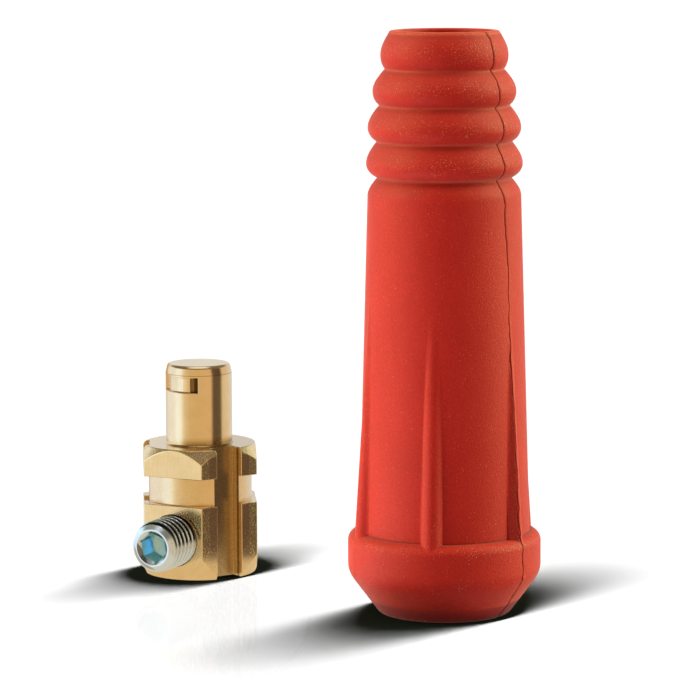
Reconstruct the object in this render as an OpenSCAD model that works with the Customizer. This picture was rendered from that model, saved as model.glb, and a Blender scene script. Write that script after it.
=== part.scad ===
// Twist-lock plug for welding cable, taken apart: the brass contact plug stands on its cable end,
// with its clamp screw backed out, and the rubber sleeve stands beside it on its mouth.
// The origin is the centre of the cable bore's mouth, on the surface that both stand on. Z is up,
// and the clamp screw goes in along +Y.

/* [Hexagon body] */
// Size of the hexagon bar across its flats
hex_af = 22; // [21:0.5:26]
// Height of the clamping part, from the cable end to the snap groove
clamp_h = 14.5; // [14:0.5:20]
// Width of the snap groove along the axis
snap_groove_w = 5.4; // [4:0.2:7]
// Depth of the snap groove below the flats
snap_groove_depth = 0.75; // [0.5:0.05:1.2]
// Height of the hexagon flange above the snap groove
flange_h = 5.6; // [5:0.2:8]
// Height of the turned bevel at a corner of the flange
flange_bevel_h = 2.6; // [1.5:0.1:3.5]
// Height of the turned bevel at a corner of the cable end
base_bevel_h = 4.2; // [2:0.1:5]
// How far the round end faces stay inside the flats
face_inset = 0.15; // [0.1:0.05:0.5]

/* [Keyways] */
// Width of the deep keyway
key_slot_w = 5.5; // [4:0.5:6.5]
// Depth of the deep keyway below its flat
key_slot_depth = 3.1; // [2:0.1:3.5]
// Width of the shallow keyway
key_notch_w = 5.3; // [4:0.1:6]
// Depth of the shallow keyway below its flat
key_notch_depth = 1.2; // [0.8:0.1:2]

/* [Cable bore] */
// Diameter of the bore for the bare cable
cable_bore_d = 13.5; // [10:0.5:14.5]
// Depth of the bore to the start of the drill point
cable_bore_depth = 19; // [16:0.5:21]
// Full angle of the drill point
drill_angle = 118; // [100:2:140]

/* [Contact pin] */
// Diameter of the contact pin
pin_d = 13; // [11:0.5:14]
// Length of the contact pin above the flange
pin_len = 15.7; // [13:0.1:20]
// Length of the taper that leads the pin in
lead_in_h = 1.8; // [1:0.1:2.5]
// How much the taper takes off the pin's radius
lead_in_step = 0.3; // [0.2:0.05:0.6]
// Size of the broken edge at the tip
tip_edge = 0.4; // [0.2:0.05:0.8]
// Size of the fillet at the pin's root
root_fillet = 0.3; // [0.2:0.05:0.6]

/* [Bayonet groove] */
// Distance from the tip to the groove's lower wall
bayonet_low = 5.15; // [4.5:0.05:6]
// Height of the groove where its upper wall is lowest
bayonet_stop_h = 2.8; // [2:0.05:3.2]
// Tilt of the plane that the groove's upper wall is cut on, which draws the plug in
bayonet_ramp = 18; // [10:1:22]
// How far before the stop the upper wall is lowest, as an angle
bayonet_low_dir = 23; // [0:1:40]
// Depth of the groove
bayonet_depth = 0.8; // [0.5:0.05:1.2]
// Angle from the entry slot's far wall to the stop
bayonet_sweep = 90; // [80:2:120]
// Angle that the entry slot takes up
bayonet_entry = 20; // [16:2:30]
// Width of the deeper pocket at the stop
bayonet_stop_w = 2.1; // [1.6:0.05:2.6]
// Depth of the deeper pocket at the stop
bayonet_stop_depth = 1.85; // [1.4:0.05:2.4]
// Angle of the stop, counted anticlockwise from +X
bayonet_stop_dir = -63; // [-90:1:-30]

/* [Clamp screw] */
// Diameter of the clamp screw over its thread
screw_d = 10; // [9:0.5:10.5]
// Length of the clamp screw
screw_len = 12; // [10:0.5:14]
// Height of the screw's axis above the cable end
screw_axis_h = 7.7; // [7:0.1:8.2]
// How far the screw stands out of its flat at rest
screw_out = 8.5; // [4:0.5:9]
// Gap all round between the screw and its hole
screw_clearance = 0.05; // [0.02:0.01:0.1]
// Bevel at both ends of the screw
screw_bevel = 1.35; // [0.8:0.05:1.5]
// Size of the hexagon socket across its flats
socket_af = 5; // [4:0.5:5.5]
// Depth of the hexagon socket
socket_depth = 5; // [4:0.5:6]
// Angle that the socket is turned about the screw's axis
socket_turn = 8; // [0:1:59]

/* [Sleeve body] */
// Height of the sleeve
sleeve_h = 107.6; // [100:0.1:125]
// Gap all round between the plug and its pocket in the sleeve
pocket_gap = 0.15; // [0.05:0.05:0.3]
// Thickness of the lip in front of the flange
lip_h = 1; // [0.6:0.1:2]
// How far the lip reaches in over the flange's round face
lip_overlap = 0.4; // [0.2:0.05:0.8]
// Wall of the lip at its front edge
lip_wall = 1.9; // [1.2:0.1:2.5]
// Wall of the collar over the pocket's corners
collar_wall = 5.1; // [4:0.1:7]
// Height of the collar from the mouth
collar_h = 15.2; // [14:0.1:20]
// Height of the round at the collar's upper edge
collar_round_h = 1.9; // [1.2:0.1:4.5]
// Height of the mouth's bevel, measured to the collar's wall
nose_h = 7.5; // [6.5:0.1:8.5]
// Share of the bevel that the round under the collar takes
nose_round = 0.2; // [0.1:0.02:0.3]
// Wall over the pocket's corners, where the body meets the collar
body_wall = 3; // [2:0.1:3.8]
// Height of the round at the body's shoulder
shoulder_h = 3.4; // [2:0.1:5]

/* [Cable end] */
// Diameter of the channel for the insulated cable
channel_d = 17; // [14:0.5:18.5]
// Height of the funnel that leads from the pocket to the channel
funnel_h = 8; // [4:0.5:14]
// Width of the ledge that stops the plug at the pocket's end
funnel_ledge = 1.3; // [0.6:0.1:1.6]
// Wall round the channel at the body's shoulder
shoulder_wall = 5.65; // [4:0.05:7]
// Wall round the channel at the rim
rim_wall = 1.7; // [1:0.1:2.5]
// Height of the round at the rim's outer edge
rim_round_h = 0.35; // [0.2:0.05:0.8]
// Width of the round at the rim's outer edge
rim_round_w = 0.7; // [0.3:0.05:0.9]
// Wall round the channel at the first ring's crest
first_ring_wall = 3.25; // [2.6:0.05:4]
// Wall round the channel at the last ring's crest
last_ring_wall = 5.9; // [5:0.05:7]
// Number of grip rings
ring_count = 4; // [2:1:6]
// Height of one grip ring
ring_pitch = 6.62; // [5:0.02:8]
// Depth of the first crease below the crests beside it
first_crease = 1.4; // [0.8:0.05:1.6]
// Depth of the last crease below the crests beside it
last_crease = 1.95; // [1.2:0.05:2.2]
// How far down a ring its crest lies, as a share of its height
crest_at = 0.62; // [0.5:0.02:0.75]

/* [Ribs] */
// Number of ribs round the body
rib_count = 6; // [3:1:8]
// Diameter of a rib's round back
rib_d = 3.9; // [3:0.1:5]
// How far a rib stands out of the body at the collar
rib_rise = 1.65; // [1:0.05:1.9]
// Height at which a rib sinks into the body
rib_end_z = 56; // [45:1:65]

/* [Sleeve place] */
// Distance of the sleeve's axis from the plug's axis along X
sleeve_x = 59; // [50:0.5:90]
// Distance of the sleeve's axis from the plug's axis along Y
sleeve_y = -13.7; // [-40:0.1:40]
// Direction of the mould's parting plane, counted anticlockwise from +X
sleeve_turn = -12.5; // [-90:0.5:90]

/* [Hidden] */
$fn = 96;

// A cut runs past the surface that it opens by this much
past = 1;

hex_flat_r = hex_af / 2;
hex_sides = 6;
hex_step = 360 / hex_sides;
hex_corner_r = hex_flat_r / cos(hex_step / 2);
screw_dir = -90;
key_slot_dir = screw_dir + hex_step;
key_notch_dir = screw_dir - hex_step;
groove_floor_r = hex_flat_r - snap_groove_depth;
groove_top_z = clamp_h + snap_groove_w;
flange_top_z = groove_top_z + flange_h;

pin_r = pin_d / 2;
pin_tip_z = flange_top_z + pin_len;
bayonet_floor_r = pin_r - bayonet_depth;

screw_r = screw_d / 2;
screw_face_y = -(hex_flat_r + screw_out);

pocket_r = hex_corner_r + pocket_gap;
pocket_top_z = lip_h + flange_top_z;
channel_r = channel_d / 2;
end_face_r = hex_flat_r - face_inset;
lip_r = end_face_r - lip_overlap;
nose_r = lip_r + lip_wall;
collar_r = pocket_r + collar_wall;
body_foot_r = pocket_r + body_wall;
shoulder_r = channel_r + shoulder_wall;
rings_top_z = sleeve_h - rim_round_h;
rings_z = rings_top_z - ring_count * ring_pitch;
shoulder_z = rings_z - shoulder_h;
rim_r = channel_r + rim_wall;
rib_r = rib_d / 2;

// How the crests grow from ring to ring: 1 is evenly, and more lets the first rings grow faster
ring_bow = 1.95;
// Steps in each rounded stretch of an outline
round_steps = 6;

function lerp(a, b, t) = a + (b - a) * t;

// Radius of the body's straight taper at a height
function body_r(z) = lerp(body_foot_r, shoulder_r, (z - collar_h) / (shoulder_z - collar_h));

// Radius of a ring's crest, counted from the rim
function crest_r(k) =
    channel_r + lerp(first_ring_wall, last_ring_wall, 1 - pow(1 - k / (ring_count - 1), ring_bow));

// Radius of the crease above ring k; the rim takes its place above the first ring
function crease_r(k) =
    k == 0 ? rim_r
    : k == ring_count ? (crest_r(k - 1) + shoulder_r) / 2 - last_crease
    : (crest_r(k - 1) + crest_r(k)) / 2 - lerp(first_crease, last_crease, k / ring_count);

// The rim's outer edge is a quarter ellipse; it ends where the first ring begins
function rim_outline() =
    [for (i = [0 : round_steps - 1]) let (a = 90 * i / round_steps)
        [rim_r - rim_round_w * (1 - sin(a)), rings_top_z + rim_round_h * cos(a)]];

// One ring from its upper crease down to its lower one: a sine bow to the crest, then a bend
// halfway between a quarter ellipse and a cosine bow
function ring_outline(k) =
    let (top_z = rings_top_z - k * ring_pitch, crest_z = top_z - crest_at * ring_pitch)
    concat(
        [for (i = [0 : round_steps - 1]) let (t = i / round_steps)
            [lerp(crease_r(k), crest_r(k), sin(90 * t)), lerp(top_z, crest_z, t)]],
        [for (i = [0 : round_steps - 1]) let (t = i / round_steps, a = 90 * t)
            [lerp(crease_r(k + 1), crest_r(k), cos(a)),
             lerp(crest_z, top_z - ring_pitch, (sin(a) + t) / 2)]]
    );

// The shoulder swells from the last crease to the body's taper
function shoulder_outline() =
    [for (i = [0 : round_steps]) let (t = i / round_steps)
        [lerp(crease_r(ring_count), shoulder_r, sin(90 * t)), lerp(rings_z, shoulder_z, t)]];

// The collar's upper edge is a quarter ellipse
function collar_top_outline() =
    [for (i = [0 : round_steps]) let (a = 90 * i / round_steps)
        [lerp(body_foot_r, collar_r, sin(a)), collar_h - collar_round_h * (1 - cos(a))]];

// The edge between the collar's wall and the mouth's bevel is one smooth bend round their corner
function nose_outline() =
    let (
        start = [collar_r, nose_h * (1 + nose_round)],
        corner = [collar_r, nose_h],
        end = [lerp(collar_r, nose_r, nose_round), nose_h * (1 - nose_round)]
    )
    [for (i = [0 : round_steps]) let (t = i / round_steps)
        (1 - t) * (1 - t) * start + 2 * t * (1 - t) * corner + t * t * end];

// Half section of the sleeve's outside
module sleeve_outline() {
    polygon(concat(
        [[0, 0], [0, sleeve_h]],
        rim_outline(),
        [for (k = [0 : ring_count - 1]) each ring_outline(k)],
        shoulder_outline(),
        collar_top_outline(),
        nose_outline(),
        [[nose_r, 0]]
    ));
}

// Half section of the hexagon bar's turned ends, grown by a gap all round
module turned_ends_outline(gap) {
    face_r = end_face_r + gap;
    wide_r = hex_corner_r + gap + past;
    base_slope = base_bevel_h / (hex_corner_r + gap - face_r);
    flange_slope = flange_bevel_h / (hex_corner_r + gap - face_r);
    polygon([
        [0, 0],
        [face_r, 0],
        [wide_r, (wide_r - face_r) * base_slope],
        [wide_r, flange_top_z - (wide_r - face_r) * flange_slope],
        [face_r, flange_top_z],
        [0, flange_top_z]
    ]);
}

// A straight keyway along the whole bar, or with a gap the key that slides in it
module keyway(dir, width, depth, gap) {
    rotate([0, 0, dir])
        translate([hex_flat_r - depth + gap, gap - width / 2, -past])
            cube([depth + hex_corner_r, width - 2 * gap, flange_top_z + 2 * past]);
}

// The snap groove, or with a gap the rubber ring that snaps into it
module snap_ring(gap) {
    translate([0, 0, clamp_h + gap])
        difference() {
            cylinder(r = hex_corner_r + gap + past, h = snap_groove_w - 2 * gap);
            translate([0, 0, -past])
                cylinder(r = groove_floor_r + gap, h = snap_groove_w + 2 * past);
        }
}

// Outside of the hexagon body; the sleeve's pocket is this form with a gap
module hexagon_body(gap) {
    difference() {
        intersection() {
            rotate([0, 0, screw_dir + hex_step / 2])
                cylinder(r = hex_corner_r + gap / cos(hex_step / 2), h = flange_top_z, $fn = hex_sides);
            rotate([0, 0, hex_step / 4]) rotate_extrude() turned_ends_outline(gap);
        }
        snap_ring(gap);
        keyway(key_slot_dir, key_slot_w, key_slot_depth, gap);
        keyway(key_notch_dir, key_notch_w, key_notch_depth, gap);
    }
}

// Half section of the contact pin, with its root sunk into the flange
module pin_outline() {
    tip_r = pin_r - lead_in_step;
    polygon([
        [0, flange_top_z - past],
        [pin_r + root_fillet, flange_top_z - past],
        [pin_r + root_fillet, flange_top_z],
        [pin_r, flange_top_z + root_fillet],
        [pin_r, pin_tip_z - lead_in_h],
        [tip_r, pin_tip_z - tip_edge],
        [tip_r - tip_edge, pin_tip_z],
        [0, pin_tip_z]
    ]);
}

// A stretch of ring round the pin, cut down to the groove's floor
module groove_sector(from, sweep, height) {
    rotate([0, 0, from])
        rotate_extrude(angle = sweep)
            translate([bayonet_floor_r, 0])
                square([bayonet_depth + past, height]);
}

// The bayonet groove: an entry slot open at the tip, a groove under a ramp, and a pocket at the stop
module bayonet_groove() {
    stop_half_angle = asin(bayonet_stop_w / 2 / bayonet_floor_r);
    translate([0, 0, pin_tip_z - bayonet_low])
        rotate([0, 0, bayonet_stop_dir]) {
            groove_sector(-bayonet_sweep, bayonet_entry, bayonet_low + past);
            intersection() {
                union() {
                    groove_sector(-bayonet_sweep, bayonet_sweep - stop_half_angle, bayonet_low);
                    linear_extrude(height = bayonet_low)
                        polygon([
                            [pin_r - bayonet_stop_depth, 0],
                            [pin_r + past, 0],
                            [pin_r + past, -bayonet_stop_w],
                            [bayonet_floor_r, -bayonet_stop_w]
                        ]);
                }
                rotate([0, 0, -bayonet_low_dir])
                    translate([pin_r, 0, bayonet_stop_h])
                        rotate([0, bayonet_ramp, 0])
                            translate([-3 * pin_d, -pin_d, -2 * pin_d])
                                cube([4 * pin_d, 2 * pin_d, 2 * pin_d]);
            }
        }
}

// The blind bore for the bare cable, with its drill point
module cable_bore() {
    bore_r = cable_bore_d / 2;
    point_h = bore_r / tan(drill_angle / 2);
    rotate_extrude()
        polygon([
            [0, -past],
            [bore_r, -past],
            [bore_r, cable_bore_depth],
            [0, cable_bore_depth + point_h]
        ]);
}

// Places what points along +Z so that it points into the body along the screw's axis
module on_screw_axis() {
    translate([0, screw_face_y, screw_axis_h]) rotate([-90, 0, 0]) children();
}

module plug_body() {
    color("goldenrod")
        difference() {
            union() {
                hexagon_body(0);
                difference() {
                    rotate_extrude() pin_outline();
                    bayonet_groove();
                }
            }
            cable_bore();
            on_screw_axis() cylinder(r = screw_r + screw_clearance, h = -screw_face_y);
        }
}

module clamp_screw() {
    socket_point_r = 0.46 * socket_af;
    color("silver")
        on_screw_axis()
            difference() {
                rotate_extrude()
                    polygon([
                        [0, 0],
                        [screw_r - screw_bevel, 0],
                        [screw_r, screw_bevel],
                        [screw_r, screw_len - screw_bevel],
                        [screw_r - screw_bevel, screw_len],
                        [0, screw_len]
                    ]);
                rotate([0, 0, socket_turn])
                    translate([0, 0, -past])
                        cylinder(
                            r = socket_af / 2 / cos(hex_step / 2),
                            h = socket_depth + past,
                            $fn = hex_sides
                        );
                translate([0, 0, socket_depth - past])
                    cylinder(r = socket_point_r, h = past);
                translate([0, 0, socket_depth])
                    cylinder(r1 = socket_point_r, r2 = 0, h = socket_point_r / tan(drill_angle / 2));
            }
}

// One rib: a leaning round bar whose back rises from the body to the collar's edge
module rib() {
    foot_z = collar_h - collar_round_h;
    foot_r = body_r(collar_h) + rib_rise;
    lean = atan((foot_r - body_r(rib_end_z)) / (rib_end_z - collar_h));
    sunk = rib_r;
    translate([foot_r - rib_r / cos(lean) + (collar_h - foot_z) * tan(lean), 0, foot_z])
        rotate([0, -lean, 0])
            cylinder(r = rib_r, h = (rib_end_z - foot_z) / cos(lean) + 3 * sunk);
}

// The inside of the sleeve: the plug's pocket, with its deep key on the parting plane, a funnel,
// and the cable's channel
module sleeve_inside() {
    translate([0, 0, pocket_top_z])
        mirror([0, 0, 1])
            rotate([0, 0, -key_slot_dir]) hexagon_body(pocket_gap);
    translate([0, 0, -past]) cylinder(r = lip_r, h = lip_h + 2 * past);
    rotate_extrude()
        polygon([
            [0, pocket_top_z - past],
            [end_face_r - funnel_ledge, pocket_top_z - past],
            [end_face_r - funnel_ledge, pocket_top_z],
            [channel_r, pocket_top_z + funnel_h],
            [channel_r, sleeve_h + past],
            [0, sleeve_h + past]
        ]);
}

module insulating_sleeve() {
    color("firebrick")
        translate([sleeve_x, sleeve_y, 0])
            rotate([0, 0, sleeve_turn])
                difference() {
                    union() {
                        rotate_extrude() sleeve_outline();
                        for (i = [0 : rib_count - 1])
                            rotate([0, 0, 360 * i / rib_count]) rib();
                    }
                    sleeve_inside();
                }
}

plug_body();
clamp_screw();
insulating_sleeve();
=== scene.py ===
# %% [markdown]
# # A welding cable plug, taken apart
#
# A brass contact plug stands on its cable end with its clamp screw backed out, and the red
# rubber sleeve that normally covers it stands at its side. This lesson dresses the exact CAD
# solids for a product photograph. The solids give every size and place, so the lesson only
# adds what CAD leaves out: the thread on the screw, the soft moulded shape of the rubber with
# its parting line, broken edges on the brass, and finishes.

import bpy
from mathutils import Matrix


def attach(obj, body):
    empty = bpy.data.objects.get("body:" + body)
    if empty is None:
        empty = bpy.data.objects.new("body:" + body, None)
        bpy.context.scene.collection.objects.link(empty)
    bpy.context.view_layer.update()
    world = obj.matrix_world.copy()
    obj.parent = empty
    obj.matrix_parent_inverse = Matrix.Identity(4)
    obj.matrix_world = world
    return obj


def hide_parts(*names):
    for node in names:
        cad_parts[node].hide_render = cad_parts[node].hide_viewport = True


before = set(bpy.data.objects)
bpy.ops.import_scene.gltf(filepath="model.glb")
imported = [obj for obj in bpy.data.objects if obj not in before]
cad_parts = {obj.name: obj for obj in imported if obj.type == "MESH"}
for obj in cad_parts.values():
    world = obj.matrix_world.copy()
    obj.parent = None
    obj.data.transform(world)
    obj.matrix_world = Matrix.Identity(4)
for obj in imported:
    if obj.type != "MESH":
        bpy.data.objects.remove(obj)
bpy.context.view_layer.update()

# %%
import math

import bmesh
import bpy
import numpy as np
from mathutils import Matrix, Vector

MM = 0.001

# %% [markdown]
# ## Camera and directions
#
# A long lens from a little above, as catalogues use, keeps upright edges parallel. Everything
# in the studio is placed by the angle at which a photographer would describe it: 0 degrees is
# towards the camera, and positive angles go round to the right as the camera sees it. The
# frame's own axes are turned from that by `CAMERA_TURN`.

# %% Camera
CAMERA_TURN = math.radians(25.9)
CAMERA_PITCH = math.radians(7.777)
CAMERA_ROLL = math.radians(-0.2)
towards_camera = np.array([math.sin(CAMERA_TURN), -math.cos(CAMERA_TURN), 0.0])
camera_right = np.array([math.cos(CAMERA_TURN), math.sin(CAMERA_TURN), 0.0])

camera_data = bpy.data.cameras.new("studio_camera")
camera_data.lens = 181.02
camera_data.sensor_width = 36.0
camera = bpy.data.objects.new("studio_camera", camera_data)
camera.location = (0.32252, -0.59722, 0.13659)
camera.rotation_euler = (Matrix.Rotation(CAMERA_TURN, 3, "Z") @ Matrix.Rotation(math.pi / 2 - CAMERA_PITCH, 3, "X")
                         @ Matrix.Rotation(CAMERA_ROLL, 3, "Z")).to_euler()
bpy.context.scene.collection.objects.link(camera)
bpy.context.scene.camera = camera
bpy.context.scene.view_settings.view_transform = "Standard"
print("camera at", tuple(camera.location))

# %% [markdown]
# ## A short way to write materials
#
# A material is a tree of nodes, but its maths reads best as ordinary expressions. `Value`
# wraps one socket and overloads the operators, so `1 - mask * 0.3` adds its own Math nodes.
# Every other node comes from `Paint.node`, which takes a node type, its settings and the
# values or links of its sockets.

# %% Value and Paint
class Value:
    """One output socket; + - * / and ** with numbers or other values add Math nodes."""

    def __init__(self, paint, socket):
        self.paint, self.socket = paint, socket

    def __add__(self, other):
        return self.paint.calc("ADD", self, other)

    def __sub__(self, other):
        return self.paint.calc("SUBTRACT", self, other)

    def __rsub__(self, other):
        return self.paint.calc("SUBTRACT", other, self)

    def __mul__(self, other):
        return self.paint.calc("MULTIPLY", self, other)

    def __truediv__(self, other):
        return self.paint.calc("DIVIDE", self, other)

    def __pow__(self, other):
        return self.paint.calc("POWER", self, other)

    __radd__ = __add__
    __rmul__ = __mul__


class Paint:
    """A node tree under construction, for a material or for the world."""

    def __init__(self, owner):
        owner.use_nodes = True
        self.owner, self.tree = owner, owner.node_tree
        self.tree.nodes.clear()

    def node(self, kind, settings=None, sockets=None, out=0):
        """Adds a node, sets its settings first, then its sockets, and returns one output."""
        made = self.tree.nodes.new(kind)
        for name, setting in (settings or {}).items():
            if name == "stops":
                ramp = made.color_ramp
                while len(ramp.elements) < len(setting):
                    ramp.elements.new(1.0)
                for element, (place, colour) in zip(ramp.elements, setting):
                    element.position = place
                    element.color = (*colour, 1.0)
            else:
                setattr(made, name, setting)
        for name, given in (sockets or {}).items():
            if isinstance(given, Value):
                self.tree.links.new(given.socket, made.inputs[name])
            else:
                made.inputs[name].default_value = given
        return Value(self, made.outputs[out])

    def calc(self, operation, *numbers):
        return self.node("ShaderNodeMath", {"operation": operation}, dict(enumerate(numbers)))

    def vector(self, operation, *vectors, out=0):
        return self.node("ShaderNodeVectorMath", {"operation": operation}, dict(enumerate(vectors)), out)

    def smooth(self, value, low, high):
        """0 below low, 1 above high, and a smooth step between; high may be the lower one."""
        return self.node("ShaderNodeMapRange", {"interpolation_type": "SMOOTHSTEP"},
                         {"Value": value, "From Min": low, "From Max": high})

    def mix(self, factor, first, second):
        """Mixes two colours."""
        return self.node("ShaderNodeMix", {"data_type": "RGBA"}, {0: factor, 6: first, 7: second}, 2)

    def millimetres(self, centre=(0.0, 0.0, 0.0)):
        """The object's own coordinates in millimetres from a centre, also in millimetres."""
        place = self.node("ShaderNodeTexCoord", out="Object")
        return self.vector("SUBTRACT", self.vector("MULTIPLY", place, (1 / MM,) * 3), centre)

    def axes(self, point):
        split = self.node("ShaderNodeSeparateXYZ", sockets={0: point})
        outputs = split.socket.node.outputs
        return [Value(self, outputs[i]) for i in range(3)]

    def noise(self, point, scale, detail=2.0, stretch=None, **more):
        """Smooth noise from 0 to 1, at a scale in features per millimetre."""
        if stretch:
            point = self.vector("MULTIPLY", point, stretch)
        return self.node("ShaderNodeTexNoise", more, {"Vector": point, "Scale": scale, "Detail": detail})

    def bump(self, height, distance, strength=1.0, normal=None):
        sockets = {"Height": height, "Distance": distance, "Strength": strength}
        if normal:
            sockets["Normal"] = normal
        return self.node("ShaderNodeBump", sockets=sockets)

    def finish(self, **sockets):
        """Puts a Principled surface on the output; a socket's name has _ where Blender has a space."""
        named = {name.replace("_", " "): given for name, given in sockets.items()}
        surface = self.node("ShaderNodeBsdfPrincipled", sockets=named)
        output = self.tree.nodes.new("ShaderNodeOutputMaterial")
        self.tree.links.new(surface.socket, output.inputs["Surface"])
        return self.owner


def new_paint(name):
    return Paint(bpy.data.materials.new(name))


# %% [markdown]
# ## Turning rings of points into a closed skin
#
# Each new piece is worked out as rings of points, stored in one array. `skin` joins
# neighbouring rings by quads. A piece with a hole through it, such as the sleeve, closes from
# its last ring back to its first, and a solid piece closes at two poles.

# %% Skin
def skin(name, rings, through=False):
    """Closed rings, an array (rings, points, 3) in mm, become a mesh object in metres.

    Quad (i, j) joins points j and j + 1 of ring i to those of ring i + 1. The sign of the
    volume, a sixth of the sum of a . (b x c) over the triangles, tells whether they face in.
    """
    count, around = rings.shape[:2]
    index = np.arange(count * around).reshape(count, around)
    following = np.roll(index, -1, axis=0)
    rows = slice(None) if through else slice(0, -1)
    here, there = index[rows], following[rows]
    quads = np.stack([here, np.roll(here, -1, 1), np.roll(there, -1, 1), there], -1).reshape(-1, 4)
    points = rings.reshape(-1, 3) * MM
    a, b, c, d = (points[quads[:, i]] for i in range(4))
    volume = (np.einsum("ij,ij->i", a, np.cross(b, c)) + np.einsum("ij,ij->i", a, np.cross(c, d))).sum() / 6
    if volume < 0:
        quads = quads[:, ::-1]
    mesh = bpy.data.meshes.new(name)
    mesh.vertices.add(len(points))
    mesh.vertices.foreach_set("co", points.astype(np.float32).ravel())
    mesh.loops.add(quads.size)
    mesh.loops.foreach_set("vertex_index", quads.astype(np.int32).ravel())
    mesh.polygons.add(len(quads))
    mesh.polygons.foreach_set("loop_start", np.arange(0, quads.size, 4, dtype=np.int32))
    mesh.update(calc_edges=True)
    mesh.shade_smooth()
    piece = bpy.data.objects.new(name, mesh)
    bpy.context.scene.collection.objects.link(piece)
    print(f"{name}: {len(points)} points, {len(quads)} quads, {abs(volume) * 1e9:.0f} mm3")
    return piece


def merge_poles(piece):
    """Welds the points that lie together, so that a ring of radius 0 becomes one point."""
    work = bmesh.new()
    work.from_mesh(piece.data)
    bmesh.ops.remove_doubles(work, verts=work.verts, dist=1e-4 * MM)
    work.to_mesh(piece.data)
    work.free()


def ease(value, low, high):
    """The smooth step 3 t^2 - 2 t^3 of the share t of the way from low to high."""
    t = np.clip((value - low) / (high - low), 0.0, 1.0)
    return t * t * (3 - 2 * t)


def lerp(a, b, t):
    return a + (b - a) * t


# %% [markdown]
# ## The sleeve's outline
#
# The rubber sleeve is moulded in two halves. Its half section, from the rim down, is four grip
# rings, a shoulder, a long taper, a collar and a bevelled mouth. The CAD solid draws the same
# curves with short straight steps; here they are smooth, and the sharp rims get a small round.

# %% Outline of the outside
sleeve_centre = np.array([59.0, -13.7, 0.0])
sleeve_turn = math.radians(-12.5)
SLEEVE_H, CHANNEL_R = 107.6, 8.5
RIM_R, RIM_ROUND_W, RIM_ROUND_H = 10.2, 0.7, 0.35
RING_COUNT, RING_PITCH, CREST_AT = 4, 6.62, 0.62
SHOULDER_R, BODY_FOOT_R, COLLAR_R, NOSE_R, LIP_R = 14.15, 15.852, 17.948, 12.35, 10.45
RINGS_TOP_Z = SLEEVE_H - RIM_ROUND_H
RINGS_Z = RINGS_TOP_Z - RING_COUNT * RING_PITCH
SHOULDER_Z, COLLAR_H, COLLAR_ROUND_H, NOSE_H, NOSE_ROUND = RINGS_Z - 3.4, 15.2, 1.9, 7.5, 0.2


def crest_r(k):
    return CHANNEL_R + lerp(3.25, 5.9, 1 - (1 - k / (RING_COUNT - 1)) ** 1.95)


def crease_r(k):
    if k == 0:
        return RIM_R
    if k == RING_COUNT:
        return (crest_r(k - 1) + SHOULDER_R) / 2 - 1.95
    return (crest_r(k - 1) + crest_r(k)) / 2 - lerp(1.4, 1.95, k / RING_COUNT)


def body_r(z):
    return lerp(BODY_FOOT_R, SHOULDER_R, (z - COLLAR_H) / (SHOULDER_Z - COLLAR_H))


def ring_outline(k, steps=12):
    """One ring: a quarter sine from its upper crease out to the crest, then a rounder bend back.

    The bend's radius follows a cosine, and its height the mean of a sine and a straight line.
    """
    top = RINGS_TOP_Z - k * RING_PITCH
    crest_z = top - CREST_AT * RING_PITCH
    t = np.arange(steps) / steps
    a = t * math.pi / 2
    upper = np.stack([lerp(crease_r(k), crest_r(k), np.sin(a)), lerp(top, crest_z, t)], -1)
    lower = np.stack([lerp(crease_r(k + 1), crest_r(k), np.cos(a)),
                      lerp(crest_z, top - RING_PITCH, (np.sin(a) + t) / 2)], -1)
    return np.concatenate([upper, lower])


def outside_outline():
    """Radius and height down the whole outside, from the rim's round to the mouth's edge."""
    a = np.linspace(0, 1, 6)[:-1] * math.pi / 2
    rim_round = np.stack([RIM_R - RIM_ROUND_W * (1 - np.sin(a)), RINGS_TOP_Z + RIM_ROUND_H * np.cos(a)], -1)
    rings = np.concatenate([ring_outline(k) for k in range(RING_COUNT)])
    t = np.linspace(0, 1, 12)
    shoulder = np.stack([lerp(crease_r(RING_COUNT), SHOULDER_R, np.sin(t * math.pi / 2)),
                         lerp(RINGS_Z, SHOULDER_Z, t)], -1)
    z = np.append(np.linspace(SHOULDER_Z - 1, COLLAR_H + 1.2, 54), COLLAR_H + np.array([0.6, 0.25, 0.08]))
    taper = np.stack([body_r(z), z], -1)
    a = np.linspace(0, math.pi / 2, 15)
    collar = np.stack([lerp(BODY_FOOT_R, COLLAR_R, np.sin(a)), COLLAR_H - COLLAR_ROUND_H * (1 - np.cos(a))], -1)
    start = np.array([COLLAR_R, NOSE_H * (1 + NOSE_ROUND)])
    corner = np.array([COLLAR_R, NOSE_H])
    end = np.array([lerp(COLLAR_R, NOSE_R, NOSE_ROUND), NOSE_H * (1 - NOSE_ROUND)])
    t = np.linspace(0, 1, 8)[:, None]
    wall = lerp(collar[-1], start, np.linspace(0.25, 0.75, 3)[:, None])
    nose = (1 - t) ** 2 * start + 2 * t * (1 - t) * corner + t ** 2 * end
    edge = np.array([NOSE_R, 0.0])
    cone = lerp(end, edge, np.linspace(0.1, 0.95, 9)[:, None])
    foot = np.array([[NOSE_R, 0.12], [NOSE_R - 0.15, 0.0]])
    return np.concatenate([rim_round, rings, shoulder, taper, collar, wall, nose, cone, foot])


outline = outside_outline()
print("outline:", len(outline), "steps, widest", outline[:, 0].max(), "mm")

# %% [markdown]
# ## Ribs and the parting line
#
# Six round-backed ribs rise from the taper and run down into the collar. A rib is a leaning
# bar, so at one height its surface is a circle cut by the ray from the sleeve's axis. The two
# mould halves met at the sharpest rib: they were a tenth of a millimetre out of line, which
# leaves a step, and the rubber pulled back along the joint, which leaves a dark wavy crack.

# %% Surface of the outside
RIB_R, RIB_RISE, RIB_END_Z, RIB_STEP = 1.82, 1.65, 56.0, math.pi / 3
FLANK_TURN = math.radians(38.7)
HALF_STEP, CRACK_DEPTH = 0.13, 0.3


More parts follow.
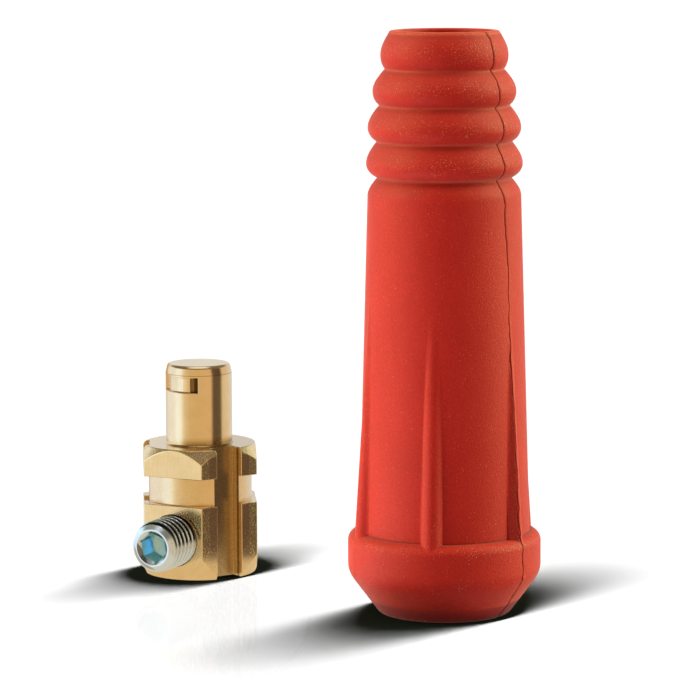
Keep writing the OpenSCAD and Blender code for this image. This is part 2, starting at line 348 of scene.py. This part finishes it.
def rib_reach(angle, z):
    """Where a ray at an angle from the nearest rib leaves that rib's circle.

    The circle's centre lies at distance a and the ray meets its far side at
    a cos(angle) + sqrt(R^2 - a^2 sin^2(angle)). On the two ribs with the parting line, one
    flank is planed flat: a plane at distance p from the axis lies at p / cos(angle to it).
    """
    crest = lerp(body_r(RIB_END_Z), body_r(COLLAR_H) + RIB_RISE, (RIB_END_Z - z) / (RIB_END_Z - COLLAR_H))
    centre = crest - RIB_R
    off = (angle + RIB_STEP / 2) % RIB_STEP - RIB_STEP / 2
    inside = RIB_R ** 2 - (centre * np.sin(off)) ** 2
    round_back = np.where(inside > 0, centre * np.cos(off) + np.sqrt(np.maximum(inside, 0)), 0.0)
    on_seam = np.abs((angle + math.pi / 2) % math.pi - math.pi / 2) < RIB_STEP / 2
    flat = crest * math.cos(FLANK_TURN) / np.cos(off + FLANK_TURN)
    return np.where(on_seam & (off < 0), np.minimum(round_back, flat), round_back)


def blend_max(a, b, width):
    """The larger of two values, with a fillet of about that width where they cross."""
    near = np.maximum(width - np.abs(a - b), 0) / width
    return np.maximum(a, b) + near * near * width / 4


def crowded_angles(count):
    """Angles round the sleeve, crowded at the flanks of the ribs and at the two parting lines.

    They split the running sum of a density into equal shares.
    """
    fine = np.linspace(0, 2 * math.pi, 20001)
    from_rib = np.degrees((fine + RIB_STEP / 2) % RIB_STEP - RIB_STEP / 2)
    from_joint = np.degrees((fine + math.pi / 2) % math.pi - math.pi / 2)
    density = 1 + 5 * np.exp(-((np.abs(from_rib) - 6.6) / 1.1) ** 2) + 9 * np.exp(-(from_joint / 0.9) ** 2)
    running = np.concatenate([[0], np.cumsum((density[1:] + density[:-1]) / 2)])
    return np.interp(np.arange(count) / count, running / running[-1], fine)


def wander(z, amount, seed):
    """A wavy shift along the height: a sum of sines with random phases, in millimetres."""
    phases = np.random.default_rng(seed).uniform(0, 2 * math.pi, 7)
    lengths = np.array([31.0, 13.0, 6.1, 3.7, 2.3, 1.5, 1.1])
    shares = np.array([1.0, 0.7, 0.8, 0.6, 0.45, 0.3, 0.25])
    waves = shares * np.sin(2 * math.pi * z[:, None] / lengths + phases)
    return amount * waves.sum(1) / shares.sum()


angles = crowded_angles(384)
heights = outline[:, 1]
joint = np.where(np.cos(angles) > 0, 0.0, math.pi)
from_joint = (angles - joint + math.pi) % (2 * math.pi) - math.pi
pull = np.cos(np.clip(from_joint / math.radians(9), -1, 1) * math.pi / 2) ** 2
lean = np.interp(heights, [60, 80, SLEEVE_H], [0, -0.85, -0.85])
shift = np.where(joint[None, :] == 0, (wander(heights, 0.5, 3) + lean)[:, None], wander(heights, 0.5, 4)[:, None])
turned = angles[None, :] + pull[None, :] * shift / np.maximum(outline[:, :1], 8)

plain_r = np.repeat(outline[:, :1], len(angles), axis=1)
z_grid = np.repeat(outline[:, 1:], len(angles), axis=1)
rib_drift = np.radians(np.interp(np.degrees(angles), [0, 180, 240, 300, 360], [0, 0, 3.0, 1.5, 0]))
ribs = np.where((z_grid < RIB_END_Z + 2) & (z_grid > NOSE_H), rib_reach(turned + rib_drift, z_grid), 0.0)
outer_r = blend_max(plain_r, ribs, 0.16)
across = from_joint[None, :] * outer_r
crack_w = np.interp(heights, [0, NOSE_H, COLLAR_H - 0.5, COLLAR_H + 1, 55, 72, SLEEVE_H],
                    [0.32, 0.20, 0.18, 0.1, 0.12, 0.2, 0.24])[:, None]
crack = np.exp(-(across / crack_w) ** 2)
back_half = ease(np.sin(angles)[None, :] * outer_r, -0.12, 0.12)
outer_r = outer_r - HALF_STEP * np.cos(angles)[None, :] * back_half - CRACK_DEPTH * crack
print("outside:", outer_r.shape, "rings by points")

# %% [markdown]
# ## The sleeve's inside
#
# The pocket is the plug's own form with a small gap: a hexagon with two keys and a rubber ring
# that snaps into the plug's groove. Above it a funnel leads to the cable's channel. It is seen
# only through the rim, but the piece is a closed solid, as the moulding is.

# %% Surface of the inside
HEX_FLAT, HEX_CORNER, GAP = 11.0, 12.702, 0.15


def hexagon_r(angle, flat):
    """Distance to a hexagon's flats, whose middles lie at 0, 60, 120 ... degrees."""
    off = (angle + RIB_STEP / 2) % RIB_STEP - RIB_STEP / 2
    return flat / np.cos(off)


def pocket_r(angle, z):
    """The pocket's wall: hexagon, turned bevels, the snap ring and the two keys, the nearest of all."""
    from_end = 26.5 - z
    cone = 10.85 + GAP + np.minimum((25.5 - (from_end)) * 1.852 / 2.6, from_end * 1.852 / 4.2).clip(0)
    wall = np.minimum(hexagon_r(angle, HEX_FLAT + GAP), cone)
    if 14.5 < from_end < 19.9:
        wall = np.minimum(wall, 10.4)
    for place, half_width, floor in ((0.0, 2.6, 8.05), (2 * math.pi / 3, 2.5, 9.95)):
        off = (angle - place + math.pi) % (2 * math.pi) - math.pi
        key = np.where(np.abs(floor * np.tan(np.clip(off, -1.2, 1.2))) < half_width, floor / np.cos(off), 99.0)
        wall = np.minimum(wall, key)
    return wall


inner_steps = [(LIP_R, 0.0), (LIP_R, 0.98), *[(None, z) for z in (
    1.02, 2.0, 3.6, 6.0, 6.55, 6.62, 9.5, 11.98, 12.04, 16.0, 20.0, 22.3, 24.5, 26.48)],
    (9.55, 26.52), (9.0, 30.5), (CHANNEL_R, 34.5), (CHANNEL_R, 45.0), (CHANNEL_R, 65.0),
    (CHANNEL_R, 85.0), (CHANNEL_R, 100.0), (CHANNEL_R, SLEEVE_H - 1.2), (CHANNEL_R, SLEEVE_H - 0.4),
    (CHANNEL_R + 0.12, SLEEVE_H - 0.12), (CHANNEL_R + 0.4, SLEEVE_H)]
inner_r = np.stack([np.full(len(angles), r) if r else pocket_r(angles, z) for r, z in inner_steps])
inner_z = np.array([z for _, z in inner_steps])[:, None] + 0 * inner_r

sleeve_r = np.concatenate([outer_r, inner_r])
sleeve_z = np.concatenate([z_grid, inner_z])
sleeve_angle = np.concatenate([turned, np.repeat(angles[None, :], len(inner_r), axis=0)]) + sleeve_turn
sleeve_rings = np.stack([sleeve_r * np.cos(sleeve_angle), sleeve_r * np.sin(sleeve_angle), sleeve_z], -1)
sleeve = skin("rubber_sleeve", sleeve_rings + sleeve_centre, through=True)


def point_attribute(piece, name, outer_values):
    """Stores one number for each point of the outside, and 0 on the inside, for the material."""
    values = np.concatenate([outer_values, np.zeros_like(inner_r)]).astype(np.float32)
    piece.data.attributes.new(name, "FLOAT", "POINT").data.foreach_set("value", values.ravel())


in_rings = ease(heights, RINGS_Z - 3, RINGS_Z)
ring_phase = (RINGS_TOP_Z - heights) / RING_PITCH % 1
# Painted highlight: a pale line along each crease of the grip rings.
crease_highlight = in_rings * np.exp(-((np.minimum(ring_phase, 1 - ring_phase) * RING_PITCH) / 0.22) ** 2)
crest_wear = in_rings * np.exp(-((ring_phase - 0.5) / 0.3) ** 2) + np.exp(-((heights - 14.0) / 1.0) ** 2) \
    + np.exp(-((heights - SLEEVE_H) / 0.5) ** 2) + 0.5 * np.exp(-((heights - NOSE_H) / 1.2) ** 2)
on_rib = ease(outer_r - plain_r, 0.35, 1.0)
planed = (from_joint < 0) & (outer_r - plain_r > 0.2) & (np.abs(across) < 3)
# Painted highlight: a pale line along the lip of the crack.
crack_lip_highlight = np.exp(-((across - 0.34) / 0.13) ** 2)
# Painted shade: a dark line at the collar's crease, a dark band just under each ring's crease and a darker planed
# flank beside the parting line.
collar_crease_shade = np.exp(-((heights - COLLAR_H - 0.06) / 0.12) ** 2)[:, None] * (1 - ease(outer_r - plain_r, 0.1, 0.3))
under_crease_shade = (in_rings * np.exp(-((ring_phase * RING_PITCH - 0.5) / 0.28) ** 2))[:, None]
painted_shade = np.maximum(np.maximum(0.6 * collar_crease_shade, 0.33 * planed), 0.3 * under_crease_shade)
# The crack attribute holds the real crack and the painted shade; the crease attribute holds the painted highlights.
point_attribute(sleeve, "crack", np.maximum(crack, painted_shade))
point_attribute(sleeve, "crease", np.clip(crease_highlight[:, None] + 0.7 * crack_lip_highlight, 0, 1))
point_attribute(sleeve, "wear", np.clip(crest_wear[:, None] + 0.35 * on_rib, 0, 1))

# %% [markdown]
# ## Red rubber
#
# Moulded rubber copies the sandblasted steel of its mould: a matte skin with a fine grain, a
# little dust, and tiny pale specks where the skin is rubbed, most of them on crests and edges.
# The colour itself is nearly flat, so the life of the surface comes from the grain and specks.
# The rest is painted light: painted shade at the collar's crease, under each ring's crease and
# on the planed flank beside the parting line, and painted highlights along the ring creases
# and the crack's lip.

# %% Rubber material
def red_rubber():
    paint = new_paint("red_rubber_moulded")
    place = paint.millimetres(tuple(sleeve_centre))
    # crack: the real crack together with painted shade; crease: painted highlights.
    crack_and_painted_shade = paint.node("ShaderNodeAttribute", {"attribute_name": "crack"}, out="Fac")
    crease = paint.node("ShaderNodeAttribute", {"attribute_name": "crease"}, out="Fac")
    wear = paint.node("ShaderNodeAttribute", {"attribute_name": "wear"}, out="Fac")
    cloud = paint.noise(place, 0.09, 3.0)
    grain = paint.noise(place, 3.0, 3.0)
    fleck = paint.noise(place, 5.6, 0.5)
    patch = paint.noise(place, 0.3, 2.0)
    gather = paint.smooth(patch * 0.6 + wear * 0.3, 0.25, 0.62)
    specks = paint.smooth(fleck + gather * 0.09, 0.78, 0.815)
    base = paint.mix(paint.smooth(cloud, 0.3, 0.7), (0.47, 0.009, 0.004, 1), (0.51, 0.011, 0.005, 1))
    base = paint.mix(paint.smooth(grain, 0.35, 0.65) * 0.45, base, (0.31, 0.005, 0.003, 1))
    # Painted highlight along the ring creases and the crack's lip.
    base = paint.mix(crease * 0.5, base, (0.64, 0.08, 0.045, 1))
    base = paint.mix(specks * 0.65, base, (0.75, 0.28, 0.18, 1))
    # The dark crack, with painted shade in the creases and on the planed flank.
    base = paint.mix(crack_and_painted_shade * 0.92, base, (0.06, 0.002, 0.001, 1))
    height = grain + fleck * 0.6 + specks * 0.5
    return paint.finish(
        Base_Color=base, Roughness=0.5 + grain * 0.12 - specks * 0.1,
        Specular_IOR_Level=0.2, Sheen_Weight=0.15, Sheen_Roughness=0.4, Sheen_Tint=(1.0, 0.55, 0.28, 1),
        Normal=paint.bump(height, 0.07 * MM, 1.0))


sleeve.data.materials.append(red_rubber())
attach(sleeve, "plug")
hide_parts("insulating_sleeve")

# %% [markdown]
# ## The brass plug's edges
#
# The plug is turned and milled from hexagon bar, and its edges are broken with a file: each
# one is a thin line of light in a photograph. The CAD solid has the exact shape with razor
# edges, so a copy of its mesh is welded, its flat faces are joined, and a fine bevel runs
# along every sharp edge.

# %% Brass body
FLANGE_TOP_Z = 25.5


def machined_copy(node, name, edge):
    """A copy of a CAD node with a bevel of a given width in mm on its sharp edges."""
    work = bmesh.new()
    work.from_mesh(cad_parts[node].data)
    bmesh.ops.remove_doubles(work, verts=work.verts, dist=1e-3 * MM)
    bmesh.ops.dissolve_limit(work, angle_limit=math.radians(0.6), verts=work.verts, edges=work.edges)
    wanted = work.edges.layers.float.new("bevel_weight_edge")
    for corner in work.edges:
        middle = (corner.verts[0].co + corner.verts[1].co) / 2 / MM
        upright = abs(corner.verts[0].co.z - corner.verts[1].co.z) > 1.0 * MM
        narrow = upright and 10.1 < math.hypot(middle.x, middle.y) < 10.3 and middle.z < FLANGE_TOP_Z
        sharp = corner.is_manifold and corner.calc_face_angle() > math.radians(28)
        corner[wanted] = float(sharp and not narrow)
    mesh = bpy.data.meshes.new(name)
    work.to_mesh(mesh)
    work.free()
    mesh.shade_smooth()
    mesh.set_sharp_from_angle(angle=math.radians(9))
    piece = bpy.data.objects.new(name, mesh)
    bpy.context.scene.collection.objects.link(piece)
    bevel = piece.modifiers.new("broken_edges", "BEVEL")
    bevel.width, bevel.segments = edge * MM, 2
    bevel.limit_method = "WEIGHT"
    bevel.use_clamp_overlap = False
    level = piece.modifiers.new("flat_faces_stay_flat", "WEIGHTED_NORMAL")
    level.keep_sharp = True
    print(f"{name}: {len(mesh.polygons)} faces before the bevel")
    return piece


plug = machined_copy("plug_body", "brass_plug", 0.12)

# %% [markdown]
# ## Brass
#
# Bright brass shows how it was cut. The lathe leaves fine rings round the pin, the groove and
# the bevels, the drawn flats of the bar keep faint lines along it, and the cutter of the
# keyway leaves shallow arcs on its floor. All are bumps far too fine to model. Darker colour
# is painted in as shade: in the keyway, in the bayonet groove's stop pocket, at the lead-in's
# edge and round the pin's root on its right side.

# %% Brass material
def bright_brass():
    paint = new_paint("bright_brass")
    place = paint.millimetres()
    x, y, z = paint.axes(place)
    radius = paint.calc("SQRT", x * x + y * y)
    on_pin = paint.smooth(z, 25.4, 25.6)
    turned_part = paint.smooth(radius, 11.0, 10.9)
    rings = paint.noise(place, 1.0, 3.0, (0.25, 0.25, 9.0))
    drawn = paint.noise(place, 1.0, 2.0, (5.0, 5.0, 0.25))
    fine = paint.noise(place, 7.0, 2.0)
    mottle = paint.noise(place, 5.0, 2.0, (1.0, 1.0, 0.6))
    blotch = paint.noise(place, 0.35, 2.0)
    into_slot = x * KEY_DIR[0] + y * KEY_DIR[1]
    over_slot = y * KEY_DIR[0] - x * KEY_DIR[1]
    in_slot = paint.smooth(paint.calc("ABSOLUTE", over_slot), 2.95, 2.85) * (1 - on_pin)
    slot_floor = in_slot * paint.smooth(into_slot, 7.6, 7.8) * paint.smooth(into_slot, 8.0, 7.95)
    slot_wall = in_slot * paint.smooth(over_slot, 2.6, 2.7) * paint.smooth(into_slot, 7.95, 8.0)
    ragged = into_slot + paint.noise(place, 2.0, 3.0) * 0.5
    wall_stripe_shade = slot_wall * paint.smooth(ragged, 9.45, 9.6) * paint.smooth(ragged, 10.35, 10.2)
    rightward = x * camera_right[0] + y * camera_right[1]
    pin_root_shade = on_pin * paint.smooth(z, 27.6, 25.8) * paint.smooth(rightward, -4.0, -2.0)
    stop_pocket_shade = on_pin * paint.smooth(radius, 5.66, 5.6) * paint.smooth(z, 40.5, 40.0)
    lead_in_shade = on_pin * paint.smooth(paint.calc("ABSOLUTE", z - LEAD_IN_Z), 0.13, 0.03)
    rough_spots = paint.smooth(mottle, 0.4, 0.75) * (1 - on_pin)
    marks = rings * turned_part + drawn * (1 - turned_part)
    base = paint.mix(paint.smooth(blotch, 0.35, 0.7), (0.87, 0.66, 0.38, 1), (0.84, 0.62, 0.34, 1))
    base = paint.mix(paint.smooth(fine, 0.45, 0.75) * 0.3, base, (0.72, 0.48, 0.22, 1))
    # Painted shade: the keyway's floor gets a darker, mottled brown; its extra roughness is the milled finish.
    base = paint.mix(slot_floor * (0.35 + mottle * 0.6), base, (0.30, 0.20, 0.09, 1))
    # Painted shade: a ragged dark stripe on the keyway's side wall.
    base = paint.mix(wall_stripe_shade * 0.8, base, (0.16, 0.09, 0.03, 1))
    # Painted shade: a brown band round the pin's root, on its right side only.
    base = paint.mix(pin_root_shade * 0.8, base, (0.38, 0.23, 0.06, 1))
    # Painted shade: a thin dark line along the lower edge of the pin's lead-in.
    base = paint.mix(lead_in_shade * 0.55, base, (0.30, 0.18, 0.07, 1))
    # Painted shade in the bayonet groove's stop pocket.
    base = paint.mix(stop_pocket_shade * 0.85, base, (0.16, 0.09, 0.035, 1))
    return paint.finish(
        Base_Color=base, Metallic=1.0,
        Roughness=0.1 + fine * 0.1 + rough_spots * 0.16 + slot_floor * 0.12,
        Normal=paint.bump(marks + fine * 0.3, 0.02 * MM, 0.5))


KEY_DIR = (math.cos(math.radians(-30)), math.sin(math.radians(-30)))
LEAD_IN_Z = 39.4
plug.data.materials.append(bright_brass())
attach(plug, "plug")
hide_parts("plug_body")

# %% [markdown]
# ## The clamp screw
#
# A short M10 set screw with a hexagon socket. The CAD solid is a plain cylinder of the
# thread's outer size. Here the wall is a true helix: going once round, the thread's profile
# moves along by one pitch, so the radius depends on the depth less the share of a turn.

# %% Screw surface
SCREW_R, SCREW_LEN, SCREW_BEVEL, SCREW_AXIS_Z, SCREW_FACE_Y = 5.0, 12.0, 1.35, 7.7, -19.5
PITCH, THREAD_DEPTH = 1.5, 0.88
SOCKET_FLAT, SOCKET_DEPTH, SOCKET_TURN = 2.5, 5.0, math.radians(8)


def thread_r(depth, angle):
    """Radius of the thread: 60 degree flanks between a flat crest and a rounded root.

    The phase is the depth in pitches less the turn; the distance from the nearest crest,
    from 0 to half a pitch, sets the drop.
    """
    phase = (depth / PITCH - angle / (2 * math.pi)) % 1
    from_crest = np.abs(phase - 0.5) * 2
    return SCREW_R - THREAD_DEPTH * (1 - np.clip((from_crest - 0.06) / 0.86, 0, 1))


screw_angles = np.linspace(0, 2 * math.pi, 145)[:-1]
hexagon = hexagon_r(screw_angles - SOCKET_TURN, SOCKET_FLAT)
depths = np.arange(0, SCREW_LEN + 1e-6, 0.06)[:, None]
wall = thread_r(depths, screw_angles[None, :])
taper = SCREW_R - SCREW_BEVEL + np.minimum(depths, SCREW_LEN - depths)
wall = np.minimum(wall, taper)


def flat_ring(radius, depth):
    return np.stack([np.full(len(screw_angles), 1.0) * radius, np.full(len(screw_angles), depth)], -1)


socket_rows = [
    flat_ring(0.0, SOCKET_DEPTH + 1.38), flat_ring(2.3, SOCKET_DEPTH), flat_ring(hexagon - 0.02, SOCKET_DEPTH - 0.02),
    flat_ring(hexagon, SOCKET_DEPTH - 0.3), flat_ring(hexagon, 2.5), flat_ring(hexagon, 0.9),
    flat_ring(np.maximum(hexagon, 2.52), 0.72), flat_ring(3.26, 0.04), flat_ring(3.32, 0.0)]
end_rows = [flat_ring(3.0, SCREW_LEN), flat_ring(0.0, SCREW_LEN)]
wall_rows = np.stack([wall, depths + 0 * wall], -1)
screw_rows = np.concatenate([np.stack(socket_rows), wall_rows, np.stack(end_rows)])
radius, depth = screw_rows[..., 0], screw_rows[..., 1]
screw_rings = np.stack([
    radius * np.cos(screw_angles), SCREW_FACE_Y + depth, SCREW_AXIS_Z + radius * np.sin(screw_angles)], -1)
screw = skin("threaded_screw", screw_rings)
merge_poles(screw)


# %% Zinc material
def bright_zinc():
    paint = new_paint("bright_zinc")
    place = paint.millimetres((0.0, SCREW_FACE_Y, SCREW_AXIS_Z))
    x, y, z = paint.axes(place)
    radius = paint.calc("SQRT", x * x + z * z)
    in_socket = paint.smooth(radius, 2.95, 2.85) * paint.smooth(y, 0.4, 0.6)
    # Painted shade: dark thread valleys, darkest on the upper half of the screw.
    thread_root_shade = paint.smooth(radius, 4.94, 4.72) * paint.smooth(radius, 3.9, 4.05) * paint.smooth(y, 1.0, 1.3)
    thread_root_shade = thread_root_shade * (0.25 + paint.smooth(z, -0.4, 0.9) * 0.75)
    # Painted shade: a dark grey patch on the lower left of the end's chamfer.
    low_left_shade = paint.smooth(x + z, -3.6, -4.4) * paint.smooth(y, 0.9, 0.5) * paint.smooth(radius, 3.4, 3.6)
    # Painted shade: a darker patch on the lower left of the socket's countersink.
    sink_left_shade = paint.smooth(x * 0.88 + z * 0.48, -2.3, -2.6) * paint.smooth(radius, 3.36, 3.28) * paint.smooth(y, 0.8, 0.7)
    fine = paint.noise(place, 5.0, 3.0)
    base = paint.mix(fine * 0.3, (0.76, 0.86, 0.97, 1), (0.60, 0.68, 0.80, 1))
    base = paint.mix(in_socket * 0.9, base, (0.42, 0.70, 0.80, 1))
    base = paint.mix(thread_root_shade, base, (0.015, 0.015, 0.015, 1))
    base = paint.mix(low_left_shade * 0.6, base, (0.20, 0.20, 0.21, 1))
    base = paint.mix(sink_left_shade * 0.85, base, (0.12, 0.12, 0.13, 1))
    return paint.finish(
        Base_Color=base, Metallic=1.0, Roughness=0.16 + fine * 0.14,
        Normal=paint.bump(fine, 0.02 * MM, 0.4))


screw.data.materials.append(bright_zinc())
screw.data.set_sharp_from_angle(angle=math.radians(32))
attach(screw, "screw")
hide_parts("clamp_screw")

# %% [markdown]
# ## The studio
#
# The floor is a white sheet lit by strips of light from in front and behind, so each piece
# throws two slim shadows along one line. Light linking gives each half of the floor its own
# strip, and lets the strips cast the shadow of a slim core instead of the sleeve's wide collar.

# %% Floor
SHADOW_DIR = np.array([0.273, 0.962, 0.0])
FRONT_DIR = np.array([SHADOW_DIR[1], -SHADOW_DIR[0], 0.0])
FLOOR_DROP, FAR = -0.02, 9000.0
SLEEVE_EDGE = float((sleeve_centre @ FRONT_DIR) + 14.8)
PLUG_EDGE = 12.4


def floor_sheet(name, along, ahead):
    """A flat sheet between two lines along the shadows and two lines across them, in mm."""
    ends = [(along[0], ahead[0]), (along[1], ahead[0]), (along[1], ahead[1]), (along[0], ahead[1])]
    points = [tuple((SHADOW_DIR * a + FRONT_DIR * f + (0, 0, FLOOR_DROP)) * MM) for a, f in ends]
    mesh = bpy.data.meshes.new(name)
    mesh.from_pydata(points, [], [(3, 2, 1, 0)])
    sheet = bpy.data.objects.new(name, mesh)
    bpy.context.scene.collection.objects.link(sheet)
    sheet.visible_glossy = False
    return sheet


def floor_paint():
    """White to the camera, greyer to light that bounces, and glossy in front of the plug only."""
    paint = new_paint("studio_floor")
    place = paint.millimetres()
    x, y, _ = paint.axes(place)
    rightward = x * camera_right[0] + y * camera_right[1]
    near_plug = paint.smooth(x * FRONT_DIR[0] + y * FRONT_DIR[1], PLUG_EDGE, PLUG_EDGE + 0.5)
    ahead = x * FRONT_DIR[0] + y * FRONT_DIR[1]
    mirror_share = near_plug * paint.smooth(rightward, 26.0, 16.0) * paint.smooth(ahead, 95.0, 25.0) * 0.11
    bounce = paint.node("ShaderNodeLightPath", out="Is Diffuse Ray")
    shade = paint.mix(bounce, (0.009, 0.009, 0.009, 1), (0.0055, 0.0052, 0.0048, 1))
    diffuse = paint.node("ShaderNodeBsdfDiffuse", sockets={"Color": shade})
    gloss = paint.node("ShaderNodeBsdfGlossy", sockets={"Color": (0.9, 0.9, 0.9, 1), "Roughness": 0.05})
    both = paint.node("ShaderNodeMixShader", sockets={0: mirror_share, 1: diffuse, 2: gloss})
    output = paint.tree.nodes.new("ShaderNodeOutputMaterial")
    paint.tree.links.new(both.socket, output.inputs["Surface"])
    return paint.owner


sleeve_along = float(sleeve_centre @ SHADOW_DIR)
between, behind = (SLEEVE_EDGE, PLUG_EDGE), (PLUG_EDGE, -FAR)
open_floor = floor_sheet("floor_open", (-FAR, FAR), (FAR, SLEEVE_EDGE))
floor_left = [floor_sheet("floor_sleeve_left", (-FAR, sleeve_along), between),
              floor_sheet("floor_plug_left", (-FAR, 0), behind)]
floor_right = [floor_sheet("floor_sleeve_right", (sleeve_along, FAR), between),
               floor_sheet("floor_plug_right", (0, FAR), behind)]
floor_finish = floor_paint()
for sheet in [open_floor, *floor_left, *floor_right]:
    sheet.data.materials.append(floor_finish)
print("floor sheets:", 1 + len(floor_left) + len(floor_right))

# %% Floor lights
LEFT_LIGHT, RIGHT_LIGHT = np.radians([61.5, 65.5, 69.5, 73.5, 77, 80.5]), np.radians([66, 70, 74, 77.5, 80.5])
PLUG_LEFT_LIGHT, PLUG_RIGHT_LIGHT = np.radians([50, 56, 62, 68, 73, 78]), np.radians([56, 62, 68, 74, 79])
SUN_TOTAL = 366.0

core_angle = np.linspace(0, 2 * math.pi, 65)[:-1]
core_rings = np.stack([np.stack([r * np.cos(core_angle), r * np.sin(core_angle), z + 0 * core_angle], -1)
                       for r, z in ((0, 0.1), (14.3, 0.1), (14.3, 12), (12.0, 76), (10.5, 100), (0, 100))])
plug_core_rings = np.stack([np.stack([r * np.cos(core_angle), r * np.sin(core_angle), z + 0 * core_angle], -1)
                            for r, z in ((0, 0.1), (11.9, 0.1), (11.9, 24), (6.5, 26), (6.5, 41), (0, 41))])
cores = [skin("sleeve_shadow_core", core_rings + sleeve_centre), skin("plug_shadow_core", plug_core_rings)]
for core in cores:
    merge_poles(core)
    core.visible_camera = core.visible_diffuse = core.visible_glossy = core.visible_transmission = False


def linked(name, things):
    group = bpy.data.collections.new(name)
    for thing in things:
        group.objects.link(thing)
    return group


casters = linked("floor_shadow_casters", cores)


def strip_light(name, sheets, side, elevations, blockers):
    """Suns, one above the other, that light some sheets from one side along the shadows."""
    group = linked(name + "_receivers", sheets)
    for number, elevation in enumerate(elevations):
        sun = bpy.data.lights.new(f"{name}_{number}", "SUN")
        sun.energy = SUN_TOTAL / len(elevations) / math.sin(elevation)
        sun.angle = math.radians(7)
        lamp = bpy.data.objects.new(sun.name, sun)
        flat = -SHADOW_DIR[:2] * side * math.cos(elevation)
        lamp.rotation_euler = Vector((*flat, -math.sin(elevation))).to_track_quat("-Z", "Y").to_euler()
        bpy.context.scene.collection.objects.link(lamp)
        lamp.light_linking.receiver_collection = group
        lamp.light_linking.blocker_collection = blockers


strip_light("strip_behind", floor_left[:1], 1, LEFT_LIGHT, casters)
strip_light("strip_before", floor_right[:1], -1, RIGHT_LIGHT, casters)
strip_light("small_strip_behind", floor_left[1:], 1, PLUG_LEFT_LIGHT, casters)
strip_light("small_strip_before", floor_right[1:], -1, PLUG_RIGHT_LIGHT, casters)
strip_light("strip_open", [open_floor], 1, LEFT_LIGHT[-1:], linked("nothing_in_the_way", [open_floor]))

# %% Bounce card
card_rings = np.stack([np.stack([r * np.cos(core_angle), r * np.sin(core_angle), z + 0 * core_angle], -1)
                       for r, z in ((0, -0.1), (30.0, -0.1), (30.0, -0.2), (0, -0.2))])
card = skin("bounce_card", card_rings)
merge_poles(card)
card.visible_camera = card.visible_diffuse = card.visible_shadow = card.visible_transmission = False
card_paint = new_paint("bounce_card")
card_glow = card_paint.node("ShaderNodeEmission", sockets={"Color": (0.80, 0.68, 0.48, 1), "Strength": 1.0})
card_output = card_paint.tree.nodes.new("ShaderNodeOutputMaterial")
card_paint.tree.links.new(card_glow.socket, card_output.inputs["Surface"])
card.data.materials.append(card_paint.owner)

# %% [markdown]
# ## The sky
#
# Two rooms in one. Matte surfaces are lit by two tall boxes at the sides with a dim gap in
# front, which gives the rubber its bright flanks and deep red middle. Mirror-like surfaces see
# a cool box at the left, a warm wall in front, a black flag at the right and a pale wall
# behind, which is what makes brass look like brass.

# %% Sky
COOL, WARM = (1.0, 1.4, 0.8), (1.0, 0.8, 0.5)
MATTE_ROOM = [(-180, 0.1, WARM), (-122, 0.1, WARM), (-112, 5.9, COOL), (-71, 5.9, COOL), (-61, 0.06, WARM),
              (70, 0.06, WARM), (80, 8.0, COOL), (120, 8.0, COOL), (130, 0.1, WARM), (180, 0.1, WARM)]
MIRROR_ROOM = [
    (-180, (.79, .82, .84)), (-140, (.82, .86, .92)), (-130, (.95, 1.06, 1.35)), (-92, (1.00, 1.13, 1.42)),
    (-84, (1.08, 1.30, 1.75)), (-63, (1.08, 1.28, 1.65)), (-56, (.96, .96, .80)), (-49, (.85, .76, .65)),
    (-30, (.75, .60, .38)), (0, (.74, .57, .34)), (47, (.78, .58, .38)), (51, (.15, .10, .08)),
    (84, (.11, .07, .05)), (92, (.78, .66, .55)), (122, (.82, .74, .66)), (134, (.80, .82, .90)),
    (180, (.79, .82, .84))]


def studio_sky():
    world = bpy.data.worlds.new("studio_sky")
    bpy.context.scene.world = world
    paint = Paint(world)
    look = paint.node("ShaderNodeTexCoord", out="Generated")
    across = paint.vector("DOT_PRODUCT", look, tuple(camera_right), out="Value")
    near = paint.vector("DOT_PRODUCT", look, tuple(towards_camera), out="Value")
    _, _, up = paint.axes(look)
    turn = paint.calc("ARCTAN2", across, near) / (2 * math.pi) + 0.5

    def room(stops):
        return paint.node("ShaderNodeValToRGB", {"stops": [((a + 180) / 360, c) for a, c in stops]}, {0: turn})

    matte = room([(a, tuple(level * c / 12 for c in tint)) for a, level, tint in MATTE_ROOM])
    matte = paint.mix(paint.smooth(up, 0.6, 0.9), matte, (0.12, 0.13, 0.10, 1))
    matte_light = paint.node("ShaderNodeBackground", sockets={"Color": matte, "Strength": 12.0})
    mirror = room([(a, tuple(level / 2 for level in colour)) for a, colour in MIRROR_ROOM])
    mirror = paint.mix(paint.smooth(up, 0.35, 0.6), mirror, (0.11, 0.085, 0.06, 1))
    mirror = paint.mix(paint.smooth(up, 0.9, 0.97), mirror, (0.6, 0.6, 0.6, 1))
    mirror = paint.mix(paint.smooth(up, -0.5, -0.75), mirror, (0.42, 0.38, 0.32, 1))
    mirror_light = paint.node("ShaderNodeBackground", sockets={"Color": mirror, "Strength": 2.0})
    is_mirror = paint.node("ShaderNodeLightPath", out="Is Glossy Ray")
    light = paint.node("ShaderNodeMixShader", sockets={0: is_mirror, 1: matte_light, 2: mirror_light})
    output = paint.tree.nodes.new("ShaderNodeOutputWorld")
    paint.tree.links.new(light.socket, output.inputs["Surface"])


studio_sky()
sleeve.visible_glossy = False
